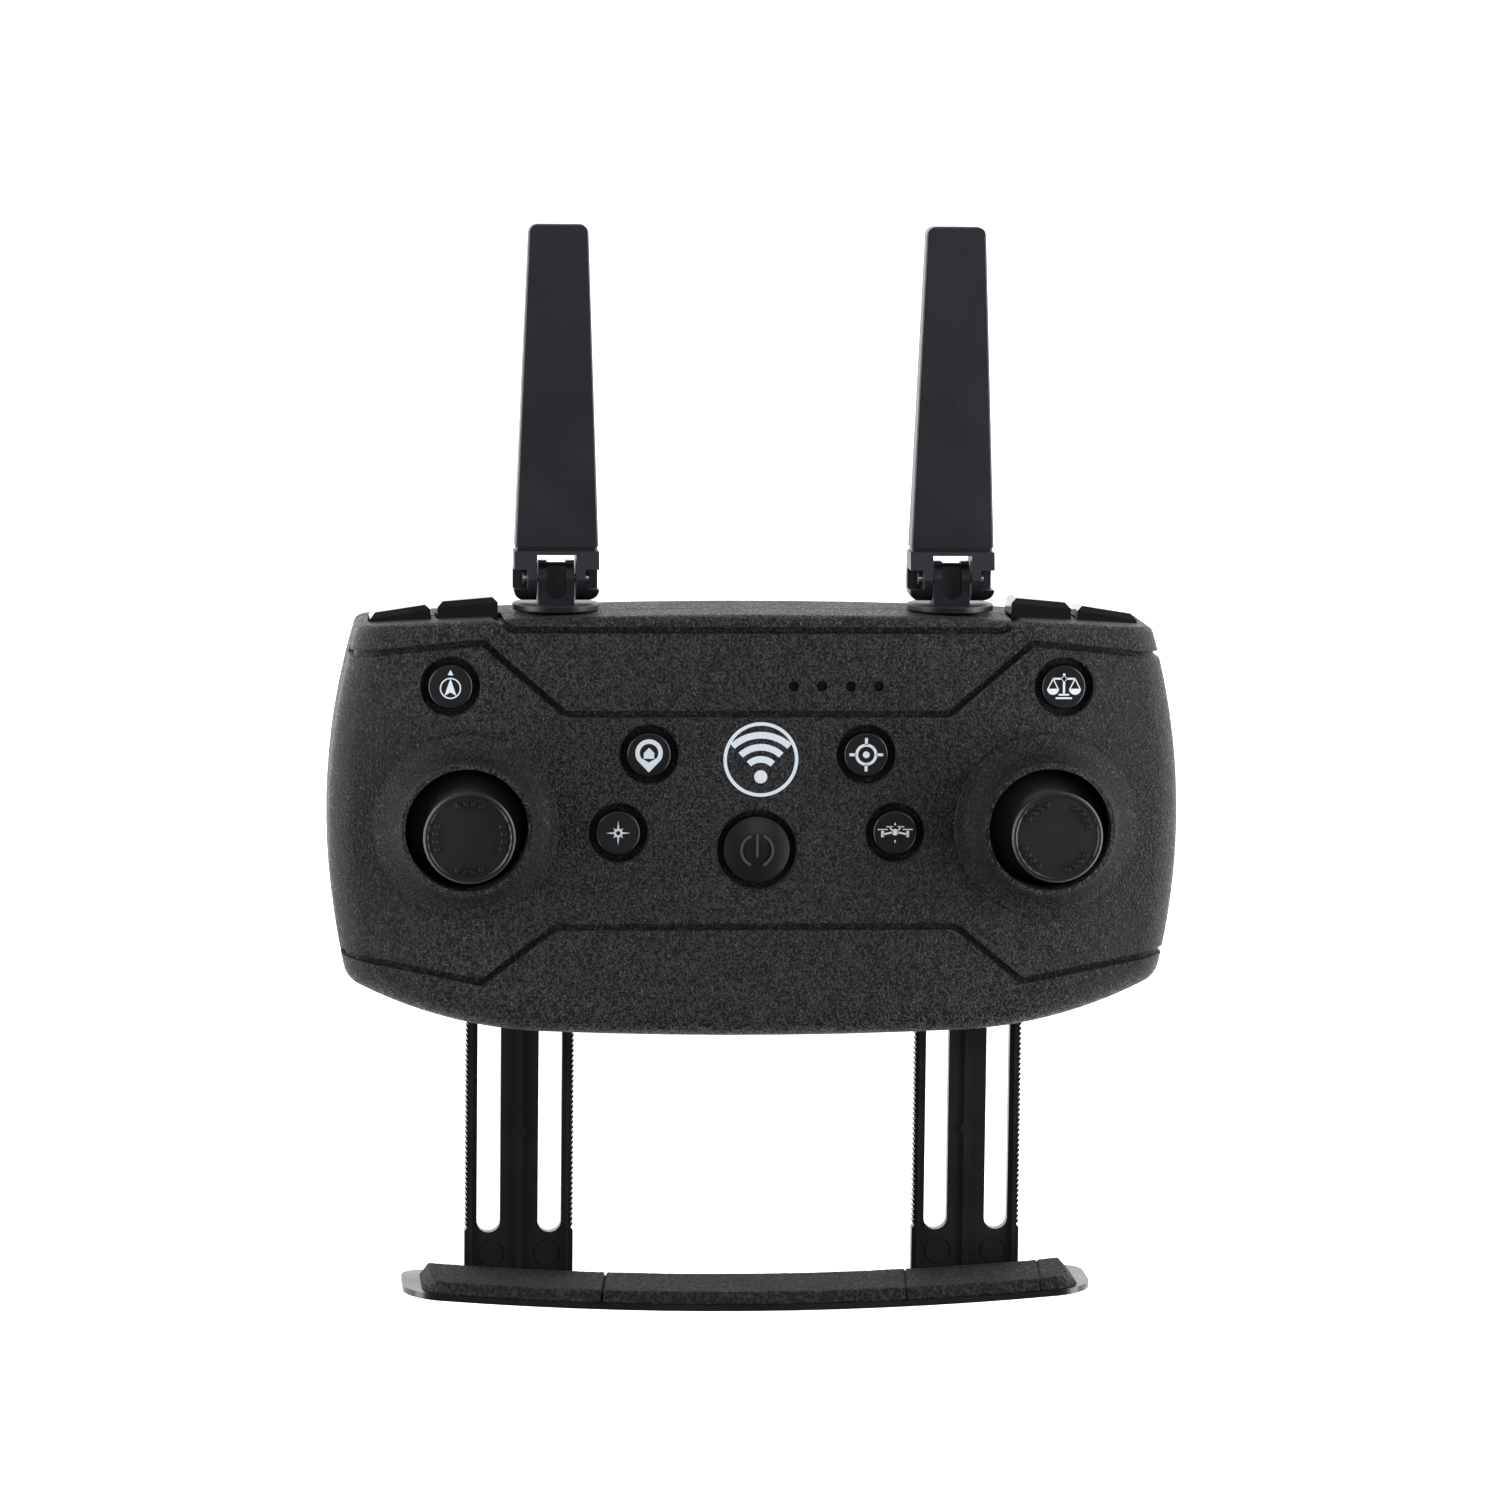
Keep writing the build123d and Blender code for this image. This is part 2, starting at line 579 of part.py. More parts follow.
# ---------------------------------------------------------------- stick modules
for tag, sx in (("left", -1), ("right", 1)):
    cx, cy = sx * STICK_X, STICK_Y

    with BuildPart() as gimbal_base:
        with BuildSketch(top(PCB_Z1, cx, cy)) as sq:
            Rectangle(15.0, 15.0)
            chamfer(sq.vertices(), 2.5)
        extrude(amount=PIVOT_Z + 4.5 - PCB_Z1)
        with BuildSketch(top(PCB_Z1 + 2.0, cx, cy)) as sq:
            Rectangle(12.6, 12.6)
            chamfer(sq.vertices(), 1.2)
        extrude(amount=20, mode=Mode.SUBTRACT)
        with BuildSketch(side(cx - 10, cy, PIVOT_Z)):
            Circle(0.86)
        extrude(amount=20, mode=Mode.SUBTRACT)
        with BuildSketch(front(cy + 10, cx, PIVOT_Z)):
            Circle(0.86)
        extrude(amount=20, mode=Mode.SUBTRACT)
    gimbal_base.part.label = "gimbal_base_" + tag
    export_step(gimbal_base.part, "parts/gimbal_base_" + tag + ".step")

    with BuildPart() as gimbal_pots:
        with BuildSketch(side(cx - sx * 7.5, cy, PIVOT_Z)):
            Circle(3.5)
        extrude(amount=-sx * 2.6)
        with BuildSketch(front(cy - 7.5, cx, PIVOT_Z)):
            Circle(3.5)
        extrude(amount=2.6)
    gimbal_pots.part.label = "gimbal_pots_" + tag
    export_step(gimbal_pots.part, "parts/gimbal_pots_" + tag + ".step")

    with BuildPart() as gimbal_ring:
        with BuildSketch(top(PIVOT_Z - 1.5, cx, cy)):
            Rectangle(12.0, 9.6)
            Rectangle(8.6, 7.4, mode=Mode.SUBTRACT)
        extrude(amount=3.0)
        with BuildSketch(front(cy + 6, cx, PIVOT_Z)):
            Circle(0.76)
        extrude(amount=12, mode=Mode.SUBTRACT)
        for s in (-1, 1):
            with BuildSketch(side(cx + s * 5.8, cy, PIVOT_Z)):
                Circle(0.8)
            extrude(amount=s * 1.5)
    gimbal_ring.part.label = "gimbal_ring_" + tag
    export_step(gimbal_ring.part, "parts/gimbal_ring_" + tag + ".step")

    with BuildPart() as gimbal_arc:
        with BuildSketch(side(cx - 3.0, cy, PIVOT_Z)):
            with BuildLine():
                Polyline((-6.0, -1.8), (-6.0, 5.8), (-4.4, 7.4), (4.4, 7.4), (6.0, 5.8), (6.0, -1.8),
                         (5.35, -1.8), (5.35, 5.5), (4.2, 6.6), (-4.2, 6.6), (-5.35, 5.5), (-5.35, -1.8), (-6.0, -1.8))
            make_face()
        extrude(amount=6.0)
        for s in (-1, 1):
            with BuildSketch(front(cy + s * 5.8, cx, PIVOT_Z)):
                Circle(0.8)
            extrude(amount=-s * 1.5)
        with BuildSketch(top(PIVOT_Z + 5.0, cx, cy)):
            Rectangle(3.7, 8.4)
        extrude(amount=4.0, mode=Mode.SUBTRACT)
    gimbal_arc.part.label = "gimbal_arc_" + tag
    export_step(gimbal_arc.part, "parts/gimbal_arc_" + tag + ".step")

    with BuildPart() as stick_shaft:
        with BuildSketch(front(cy + 3.4, cx, PIVOT_Z)):
            with BuildLine():
                Polyline((-2.0, -1.5), (2.0, -1.5), (2.0, 1.0), (1.5, 1.5), (-1.5, 1.5), (-2.0, 1.0), (-2.0, -1.5))
            make_face()
        extrude(amount=6.8)
        with BuildSketch(front(cy + 4.7, cx, PIVOT_Z)):
            Circle(0.7)
        extrude(amount=9.4)
        with BuildSketch(top(PIVOT_Z, cx, cy)):
            Circle(1.5)
        extrude(amount=CAP_Z0 + 2.4 - PIVOT_Z)
    stick_shaft.part.label = "stick_shaft_" + tag
    export_step(stick_shaft.part, "parts/stick_shaft_" + tag + ".step")

    with BuildPart() as stick_dome:
        e0 = math.asin(4.0 / DOME_R)
        e1 = math.asin(4.0 / DOME_IN)
        em = math.radians(55)
        hz = math.sqrt(DOME_R ** 2 - 3.5 ** 2)
        hi = math.sqrt(DOME_IN ** 2 - 3.5 ** 2)
        with BuildSketch(side(cx, cy, PIVOT_Z)):
            with BuildLine():
                Line((DOME_IN * math.cos(e1), 4.0), (DOME_R * math.cos(e0), 4.0))
                ThreePointArc((DOME_R * math.cos(e0), 4.0), (DOME_R * math.cos(em), DOME_R * math.sin(em)), (3.5, hz))
                Polyline((3.5, hz), (3.5, CAP_Z0 - PIVOT_Z), (1.5, CAP_Z0 - PIVOT_Z), (1.5, 8.8), (3.5, 8.8), (3.5, hi))
                ThreePointArc((3.5, hi), (DOME_IN * math.cos(em), DOME_IN * math.sin(em)), (DOME_IN * math.cos(e1), 4.0))
            make_face()
        revolve(axis=Axis(at(cx, cy, 0), (0, 0, 1)))
    stick_dome.part.label = "stick_dome_" + tag
    export_step(stick_dome.part, "parts/stick_dome_" + tag + ".step")

    with BuildPart() as stick_cap:
        with BuildSketch(side(cx, cy)):
            with BuildLine():
                Polyline((1.5, CAP_Z0), (CAP_R - 1.6, CAP_Z0), (CAP_R - 0.5, CAP_Z0 + 0.7), (CAP_R - 0.9, CAP_Z0 + 2.0),
                         (CAP_R, CAP_Z1 - 0.9), (CAP_R, CAP_Z1 - 0.35), (CAP_R - 0.35, CAP_Z1), (CAP_R - 0.75, CAP_Z1),
                         (CAP_R - 1.0, CAP_Z1 - 0.2), (0.0, CAP_Z1 - 0.2), (0.0, CAP_Z0 + 2.4), (1.5, CAP_Z0 + 2.4), (1.5, CAP_Z0))
            make_face()
        revolve(axis=Axis(at(cx, cy, 0), (0, 0, 1)))
        base_angle = 0.0 if sx < 0 else 38.0
        for g in range(4):
            for i in range(4):
                a = math.radians(base_angle + 90.0 * g + 13.0 * (i - 1.5))
                with Locations(at(cx + 6.4 * math.cos(a), cy + 6.4 * math.sin(a), CAP_Z1 - 0.25)):
                    Cone(0.6, 0.3, 0.65, align=(Align.CENTER, Align.CENTER, Align.MIN))
    stick_cap.part.label = "stick_cap_" + tag
    export_step(stick_cap.part, "parts/stick_cap_" + tag + ".step")

# ---------------------------------------------------------------- face buttons
for name, (x, y) in FACE_BUTTONS.items():
    with BuildPart() as face_button:
        with BuildSketch(top(36.4, x, y)):
            Circle(BTN_R)
        extrude(amount=FACE_Z + 0.05 - 36.4)
        fillet(face_button.faces().sort_by(Axis.Z)[-1].edges(), radius=0.35)
        with BuildSketch(top(36.3, x, y)):
            Circle(5.2)
        extrude(amount=1.1)
        with BuildSketch(top(36.4, x, y)):
            Circle(1.6)
        extrude(amount=32.35 - 36.4)
    face_button.part.label = name
    export_step(face_button.part, "parts/" + name + ".step")

with BuildPart() as button_power:
    with BuildSketch(side(px, py)):
        with BuildLine():
            Polyline((0, 32.35), (1.8, 32.35), (1.8, 36.2), (7.4, 36.2), (7.4, 37.3), (POWER_R, 37.3), (POWER_R, 39.95))
            ThreePointArc((POWER_R, 39.95), (POWER_R * 0.62, 40.65), (0, 40.95))
            Line((0, 40.95), (0, 32.35))
        make_face()
    revolve(axis=Axis(at(px, py, 0), (0, 0, 1)))
    with BuildSketch(top(38.5, px, py)) as mark:
        Circle(3.35)
        Circle(2.65, mode=Mode.SUBTRACT)
        with Locations((0, 3.0)):
            Rectangle(2.3, 2.6, mode=Mode.SUBTRACT)
        with Locations((0, -3.0)):
            Rectangle(2.3, 2.6, mode=Mode.SUBTRACT)
        with Locations((0, 1.0)):
            Rectangle(0.7, 4.6)
    extrude(amount=41.15 - 38.5)
button_power.part.label = "button_power"
export_step(button_power.part, "parts/button_power.step")

# ---------------------------------------------------------------- shoulder buttons
for name, (x0, x1, xs, yt) in SHOULDERS.items():
    outer = abs(x0 + x1) / 2 > 61
    s = 1 if x0 > 0 else -1
    with BuildPart() as shoulder:
        xm = (x0 + x1) / 2
        with BuildSketch(top(22.4)) as plan:
            with BuildLine():
                yi, yo = (yt + 3.6, yt + 2.6) if not outer else (yt + 3.7, yt + 1.9)
                yl, yr = (yi, yo) if s > 0 else (yo, yi)
                Polyline((x0, 33.4), (x0, yl), (x1, yr), (x1, 33.4), (x0, 33.4))
            make_face()
        extrude(amount=31.9 - 22.4)
        top_edges = [e for e in shoulder.edges() if e.center().Y > BODY_Y + yt + 1.0]
        chamfer(top_edges, 1.0)
        with BuildSketch(top(21.4)):
            with Locations((xm, 34.0)):
                Rectangle(x1 - x0 + 1.0 if not outer else x1 - x0 + 0.6, 1.2)
        extrude(amount=32.9 - 21.4)
        with BuildSketch(front(33.6, xs, PCB_Z1 + 2.3)):
            Circle(1.5)
        extrude(amount=33.6 - 32.0)
    shoulder.part.label = name
    export_step(shoulder.part, "parts/" + name + ".step")

# ---------------------------------------------------------------- antennas
AX = ANT_AXIS_Y
for tag, sx in (("left", -1), ("right", 1)):
    cx = sx * ANT_X
    with BuildPart() as antenna_swivel:
        with BuildSketch(front(41.05, cx, SEAM_Z)):
            Circle(DISC_R)
        extrude(amount=1.35)
        fillet(antenna_swivel.edges(), radius=0.3)
        with BuildSketch(front(39.9, cx, SEAM_Z)):
            Circle(4.7)
        extrude(amount=39.9 - 34.6)
        with BuildSketch(front(36.3, cx, SEAM_Z)):
            Circle(6.3)
        extrude(amount=1.8)
        with BuildSketch(side(cx - 3.4, 0, SEAM_Z)):
            with BuildLine():
                Line((40.9, -3.05), (AX, -3.05))
                ThreePointArc((AX, -3.05), (AX + 3.05, 0), (AX, 3.05))
                Polyline((AX, 3.05), (40.9, 3.05), (40.9, -3.05))
            make_face()
        extrude(amount=6.8)
        # stop bumps on the crown of the knuckle
        for s in (-1, 1):
            with BuildSketch(side(cx + s * 2.6 - 0.8, 0, SEAM_Z)):
                with Locations((AX + 2.9, 0)):
                    RectangleRounded(1.0, 2.6, 0.3)
            extrude(amount=1.6)
        # front channel
        with BuildSketch(top(SEAM_Z + 3.1, cx)):
            with Locations((0, 46.5)):
                Rectangle(3.7, 6.0)
            with Locations((0, 43.8)):
                Circle(1.85)
        extrude(amount=-1.3, mode=Mode.SUBTRACT)
        with BuildSketch(side(cx - 5, AX, SEAM_Z)):
            Circle(0.86)
        extrude(amount=10, mode=Mode.SUBTRACT)
    antenna_swivel.part.label = "antenna_swivel_" + tag
    export_step(antenna_swivel.part, "parts/antenna_swivel_" + tag + ".step")

    with BuildPart() as antenna_blade:
        # fork
        with BuildSketch(side(cx - 8.05, 0, SEAM_Z)):
            with BuildLine():
                Line((51.0, -3.1), (AX, -4.2))
                ThreePointArc((AX, -4.2), (AX - 4.2, 0), (AX, 4.2))
                Line((AX, 4.2), (51.0, 3.1))
                Line((51.0, 3.1), (51.0, -3.1))
            make_face()
        extrude(amount=16.1)
        with BuildSketch(top(0.0, cx)):
            with Locations((0, 45.2)):
                Rectangle(7.4, 10.2)
        extrude(amount=50.0, mode=Mode.SUBTRACT)
        low = [e for e in antenna_blade.edges().filter_by(Axis.Z) if abs(abs(e.center().X - cx) - 8.05) < 0.01]
        # side pockets showing the pin ends
        for s in (-1, 1):
            with BuildSketch(top(SEAM_Z - 2.0, cx)):
                with Locations((s * (5.45 + 1.5), AX)):
                    Rectangle(3.0, 3.8)
            extrude(amount=10.0, mode=Mode.SUBTRACT)
        # rounded toes of the ears
        with BuildSketch(top(SEAM_Z - 6.0, cx)) as toes:
            with Locations((0, 46.0)):
                Rectangle(30.0, 14.0)
            with BuildLine():
                FilletPolyline((-8.05, 56.0), (-8.05, 41.5), (8.05, 41.5), (8.05, 56.0), radius=2.2)
                Line((8.05, 56.0), (-8.05, 56.0))
            make_face(mode=Mode.SUBTRACT)
        extrude(amount=12.0, mode=Mode.SUBTRACT)
        # waist
        with BuildSketch(front(50.9, cx, SEAM_Z)):
            RectangleRounded(15.5, 5.0, 0.6)
        extrude(amount=-1.4)
        # blade
        with BuildSketch(front(51.9, cx, SEAM_Z)):
            RectangleRounded(15.8, 6.2, 0.5)
        with BuildSketch(front(ANT_TOP, cx, SEAM_Z)):
            RectangleRounded(11.2, 4.4, 0.45)
        loft()
        tip = [e for e in antenna_blade.faces().sort_by(Axis.Y)[-1].edges()]
        chamfer(tip, 0.3)
        # rounded corners of the tip
        for s in (-1, 1):
            with BuildSketch(top(SEAM_Z - 6.0, cx)):
                with Locations((s * (5.62 - TIP_R / 2 + 0.5), ANT_TOP - TIP_R / 2 + 0.5)):
                    Rectangle(TIP_R + 1.0, TIP_R + 1.0)
                with Locations((s * (5.62 - TIP_R), ANT_TOP - TIP_R)):
                    Circle(TIP_R, mode=Mode.SUBTRACT)
            extrude(amount=12.0, mode=Mode.SUBTRACT)
        # bore of the pin in the ears
        with BuildSketch(side(cx - 10, AX, SEAM_Z)):
            Circle(0.8)
        extrude(amount=20, mode=Mode.SUBTRACT)
    antenna_blade.part.label = "antenna_blade_" + tag
    export_step(antenna_blade.part, "parts/antenna_blade_" + tag + ".step")

    with BuildPart() as hinge_pin:
        with BuildSketch(side(cx - 5.9, AX, SEAM_Z)):
            Circle(0.8)
        extrude(amount=11.8)
        for s in (-1, 1):
            with BuildSketch(side(cx + s * 5.45, AX, SEAM_Z)):
                Circle(1.2)
            extrude(amount=s * 0.8)
    hinge_pin.part.label = "hinge_pin_" + tag
    export_step(hinge_pin.part, "parts/hinge_pin_" + tag + ".step")

# ---------------------------------------------------------------- phone holder
TOOTH = 1.0
TOOTH_D = 0.5
for tag, sx in (("left", -1), ("right", 1)):
    cx = sx * RACK_X
    hw = RACK_HALF - TOOTH_D
    y_teeth = -81.5
    n = int((RACK_TOP - 1.0 - y_teeth) / TOOTH)
    right_edge = []
    for i in range(n):
        y = y_teeth + i * TOOTH
        right_edge += [(hw, y), (hw + TOOTH_D, y + 0.75 * TOOTH)]
    y_last = y_teeth + n * TOOTH
    foot = [RACK_END + 0.03 + (cx + x) ** 2 / (2 * (BAR_R - 1.2)) for x in (hw + TOOTH_D, -hw - TOOTH_D)]
    edge = [(hw + TOOTH_D, y_teeth - 0.6)] + right_edge + [(hw, y_last), (hw, RACK_TOP)]
    pts = [(hw + TOOTH_D, foot[0])] + edge + [(-x, y) for x, y in reversed(edge)]
    pts += [(-hw - TOOTH_D, foot[1]), pts[0]]
    with BuildPart() as phone_rack:
        with BuildSketch(top(RACK_Z0, cx)):
            with BuildLine():
                Polyline(*pts)
            make_face()
            for dx in (-5.9, 5.9):
                with Locations((dx, -48.2)):
                    SlotOverall(68.4, 4.5, rotation=90, mode=Mode.SUBTRACT)
        extrude(amount=2.4)
        with BuildSketch(top(RACK_Z0 + 2.2, cx)):
            with Locations((0, -51.0)):
                Rectangle(1.3, 82.0)
            with Locations((0, -62.4)):
                Circle(1.3)
            for dx in (-9.3, 9.3):
                with Locations((dx, -51.0)):
                    Rectangle(0.5, 82.0)
        extrude(amount=0.8)
        # shallow ejector rings and screw sockets
        with BuildSketch(top(RACK_Z0 + 2.4, cx)):
            for dx in (-5.4, 5.4):
                with Locations((dx, -86.6)):
                    Circle(2.6)
                    Circle(2.35, mode=Mode.SUBTRACT)
        extrude(amount=-0.2, mode=Mode.SUBTRACT)
        with BuildSketch(top(RACK_Z0 - 0.5, cx)):
            for dx in (-5.4, 5.4):
                with Locations((dx, -86.6)):
                    Circle(0.8)
        extrude(amount=2.2, mode=Mode.SUBTRACT)
    phone_rack.part.label = "phone_rack_" + tag
    export_step(phone_rack.part, "parts/phone_rack_" + tag + ".step")


def bar_band(plane, y_low, thick, half):
    """Strip between two concentric arcs, curving up towards the ends."""
    with BuildSketch(plane) as band:
        with BuildLine():
            c = BAR_MID + BAR_R
            ro, ri = c - y_low, c - y_low - thick
            ao, ai = math.asin(half / ro), math.asin(half / ri)
            ThreePointArc((-half, c - ro * math.cos(ao)), (0, y_low), (half, c - ro * math.cos(ao)))
            Line((half, c - ro * math.cos(ao)), (half, c - ri * math.cos(ai)))
            ThreePointArc((half, c - ri * math.cos(ai)), (0, y_low + thick), (-half, c - ri * math.cos(ai)))
            Line((-half, c - ri * math.cos(ai)), (-half, c - ro * math.cos(ao)))
        make_face()
    return band.sketch


PLATE_T = 1.2
with BuildPart() as clip_bar:
    extrude(bar_band(top(14.3), BAR_MID, PLATE_T, BAR_HALF + 1.5), amount=BAR_Z1 - 14.3)
    with BuildSketch(front(-70.0, 0, 0)):
        with Locations((0, (BAR_Z1 + 14.3) / 2)):
            RectangleRounded(2 * BAR_HALF, BAR_Z1 - 14.3, 7.0)
    extrude(amount=40.0, mode=Mode.INTERSECT)
    # ledges under the racks
    for sx in (-1, 1):
        with BuildSketch(top(14.3)):
            with Locations((sx * RACK_X, -88.0)):
                Rectangle(18.0, 9.0)
        extrude(amount=RACK_Z0 - 14.3)
        with BuildSketch(top(13.0)):
            for dx in (-5.4, 5.4):
                with Locations((sx * RACK_X + dx, -86.6)):
                    Circle(0.85)
        extrude(amount=5.0, mode=Mode.SUBTRACT)
clip_bar.part.label = "clip_bar"
export_step(clip_bar.part, "parts/clip_bar.step")

with BuildPart() as clip_pad:
    extrude(bar_band(top(RACK_Z1 + 0.1), BAR_MID + PLATE_T, 2.5, PAD_HALF + 1.5), amount=BAR_Z1 - 0.3 - RACK_Z1 - 0.1)
    with BuildSketch(front(-70.0, 0, 0)):
        with Locations((0, (BAR_Z1 + 14.3) / 2)):
            RectangleRounded(2 * PAD_HALF, BAR_Z1 - 14.3, 5.0)
    extrude(amount=40.0, mode=Mode.INTERSECT)
clip_pad.part.label = "clip_pad"
export_step(clip_pad.part, "parts/clip_pad.step")

with BuildPart() as clip_screws:
    for sx in (-1, 1):
        for dx in (-5.4, 5.4):
            screw(sx * RACK_X + dx, -86.6, 14.3, 1.7, 1.1, 0.8, 3.8)
clip_screws.part.label = "clip_screws"
export_step(clip_screws.part, "parts/clip_screws.step")
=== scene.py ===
import json
import math

import bmesh
import bpy
import numpy as np
from mathutils import Matrix, Vector, noise


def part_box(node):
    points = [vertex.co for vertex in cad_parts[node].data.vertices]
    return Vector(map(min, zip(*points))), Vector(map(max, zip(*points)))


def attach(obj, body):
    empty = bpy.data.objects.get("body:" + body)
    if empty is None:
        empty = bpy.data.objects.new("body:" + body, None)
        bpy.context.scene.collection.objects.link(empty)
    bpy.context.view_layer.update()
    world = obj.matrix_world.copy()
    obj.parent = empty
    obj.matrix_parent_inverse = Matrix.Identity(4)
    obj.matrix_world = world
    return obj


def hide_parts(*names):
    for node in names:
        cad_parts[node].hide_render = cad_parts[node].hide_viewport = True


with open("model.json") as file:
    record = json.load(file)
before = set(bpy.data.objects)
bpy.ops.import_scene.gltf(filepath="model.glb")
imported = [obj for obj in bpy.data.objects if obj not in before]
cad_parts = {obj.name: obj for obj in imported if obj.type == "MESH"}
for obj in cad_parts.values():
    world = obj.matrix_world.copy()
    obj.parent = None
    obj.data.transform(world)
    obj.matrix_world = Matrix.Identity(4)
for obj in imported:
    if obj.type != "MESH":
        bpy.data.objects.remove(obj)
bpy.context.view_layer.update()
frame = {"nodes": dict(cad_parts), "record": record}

BY = -9.15            # middle of the housing, mm
MM = 0.001


def P(x, y, z):
    return Vector((x * MM, (BY + y) * MM, z * MM))


# ------------------------------------------------------------------ materials
def new_material(name):
    m = bpy.data.materials.new(name)
    m.use_nodes = True
    nt = m.node_tree
    return m, nt, nt.nodes["Principled BSDF"]


def setp(bsdf, **kw):
    for k, v in kw.items():
        key = k.replace("_", " ")
        if key in bsdf.inputs:
            bsdf.inputs[key].default_value = v


def ramp(nt, fac, stops):
    r = nt.nodes.new("ShaderNodeValToRGB")
    els = r.color_ramp.elements
    while len(els) < len(stops):
        els.new(0.5)
    for e, (pos, col) in zip(els, stops):
        e.position = pos
        e.color = (*col, 1.0) if len(col) == 3 else col
    nt.links.new(fac, r.inputs["Fac"])
    return r.outputs["Color"]


def coords(nt, scale=(1, 1, 1)):
    tc = nt.nodes.new("ShaderNodeTexCoord")
    mp = nt.nodes.new("ShaderNodeMapping")
    mp.inputs["Scale"].default_value = scale
    nt.links.new(tc.outputs["Object"], mp.inputs["Vector"])
    return mp.outputs["Vector"]


def noise_tex(nt, vec, scale, detail=4.0, rough=0.55, distortion=0.0):
    n = nt.nodes.new("ShaderNodeTexNoise")
    n.inputs["Scale"].default_value = scale
    n.inputs["Detail"].default_value = detail
    n.inputs["Roughness"].default_value = rough
    n.inputs["Distortion"].default_value = distortion
    nt.links.new(vec, n.inputs["Vector"])
    return n.outputs["Fac"]


def voronoi(nt, vec, scale, feature="F1"):
    n = nt.nodes.new("ShaderNodeTexVoronoi")
    n.feature = feature
    n.inputs["Scale"].default_value = scale
    nt.links.new(vec, n.inputs["Vector"])
    return n.outputs["Distance"]


def math_node(nt, op, a, b=None, clamp=False):
    n = nt.nodes.new("ShaderNodeMath")
    n.operation = op
    n.use_clamp = clamp
    for i, v in enumerate((a, b)):
        if v is None:
            continue
        if isinstance(v, (int, float)):
            n.inputs[i].default_value = v
        else:
            nt.links.new(v, n.inputs[i])
    return n.outputs[0]


def mix_color(nt, fac, a, b):
    n = nt.nodes.new("ShaderNodeMix")
    n.data_type = "RGBA"
    if isinstance(fac, (int, float)):
        n.inputs[0].default_value = fac
    else:
        nt.links.new(fac, n.inputs[0])
    for i, v in ((6, a), (7, b)):
        if isinstance(v, tuple):
            n.inputs[i].default_value = (*v, 1.0)
        else:
            nt.links.new(v, n.inputs[i])
    return n.outputs[2]


def bump(nt, height, strength, distance, prev=None):
    b = nt.nodes.new("ShaderNodeBump")
    b.inputs["Strength"].default_value = strength
    b.inputs["Distance"].default_value = distance
    nt.links.new(height, b.inputs["Height"])
    if prev is not None:
        nt.links.new(prev, b.inputs["Normal"])
    return b.outputs["Normal"]


def grained_plastic(name, dark, light, rough_lo, rough_hi, grain_scale, grain_bump, speck=0.5, spec=0.5, wear=0.0, crown=6.0):
    """Leather-grained moulded plastic: short crinkled ridges painted lighter than the black ground as painted glints of
    the grain, broad cloudiness, faint rub marks.
    """
    m, nt, b = new_material(name)
    v = coords(nt)
    n = noise_tex(nt, v, grain_scale, 1.0, 0.5, 0.6)
    ridge = math_node(nt, "SUBTRACT", 1.0, math_node(nt, "MULTIPLY", math_node(nt, "ABSOLUTE", math_node(nt, "SUBTRACT", n, 0.5)), 9.0), True)
    fine = noise_tex(nt, v, grain_scale * 2.1, 2.0, 0.6)
    grain = math_node(nt, "MULTIPLY", ridge, ramp(nt, fine, [(0.38, (0.15,) * 3), (0.60, (1.0,) * 3)]))
    cloud = noise_tex(nt, v, 55.0, 4.0, 0.5)
    smear = noise_tex(nt, coords(nt, (1.0, 7.0, 2.0)), 90.0, 3.0, 0.6)
    # the ridges are painted lighter than the ground: painted glints of the grain on top of its moulded pattern
    base = ramp(nt, grain, [(0.15, dark), (0.55, tuple(0.85 * d + 0.15 * l for d, l in zip(dark, light))), (0.95, light)])
    shade = ramp(nt, cloud, [(0.25, (0.80, 0.80, 0.81)), (0.75, (1.0, 1.0, 1.0))])
    mul = nt.nodes.new("ShaderNodeMix")
    mul.data_type = "RGBA"
    mul.blend_type = "MULTIPLY"
    mul.inputs[0].default_value = 1.0
    nt.links.new(base, mul.inputs[6])
    nt.links.new(shade, mul.inputs[7])
    nt.links.new(mul.outputs[2], b.inputs["Base Color"])
    r = ramp(nt, grain, [(0.0, (rough_hi,) * 3), (0.8, (rough_lo,) * 3)])
    r2 = ramp(nt, smear, [(0.35, (0.0,) * 3), (0.8, (0.08,) * 3)])
    rr = math_node(nt, "SUBTRACT", r, math_node(nt, "MULTIPLY", r2, 1.0 + wear))
    nt.links.new(rr, b.inputs["Roughness"])
    # the face falls away gently towards the two ends
    tc = nt.nodes.new("ShaderNodeTexCoord")
    xyz = nt.nodes.new("ShaderNodeSeparateXYZ")
    nt.links.new(tc.outputs["Object"], xyz.inputs[0])
    d = math_node(nt, "MAXIMUM", math_node(nt, "SUBTRACT", math_node(nt, "ABSOLUTE", xyz.outputs[0]), 0.052), 0.0)
    fall = math_node(nt, "MULTIPLY", math_node(nt, "MULTIPLY", d, d), -crown)
    n0 = bump(nt, fall, 1.0, 1.0)
    n1 = bump(nt, grain, speck, grain_bump, n0)
    nt.links.new(n1, b.inputs["Normal"])
    setp(b, Specular_IOR_Level=spec)
    return m


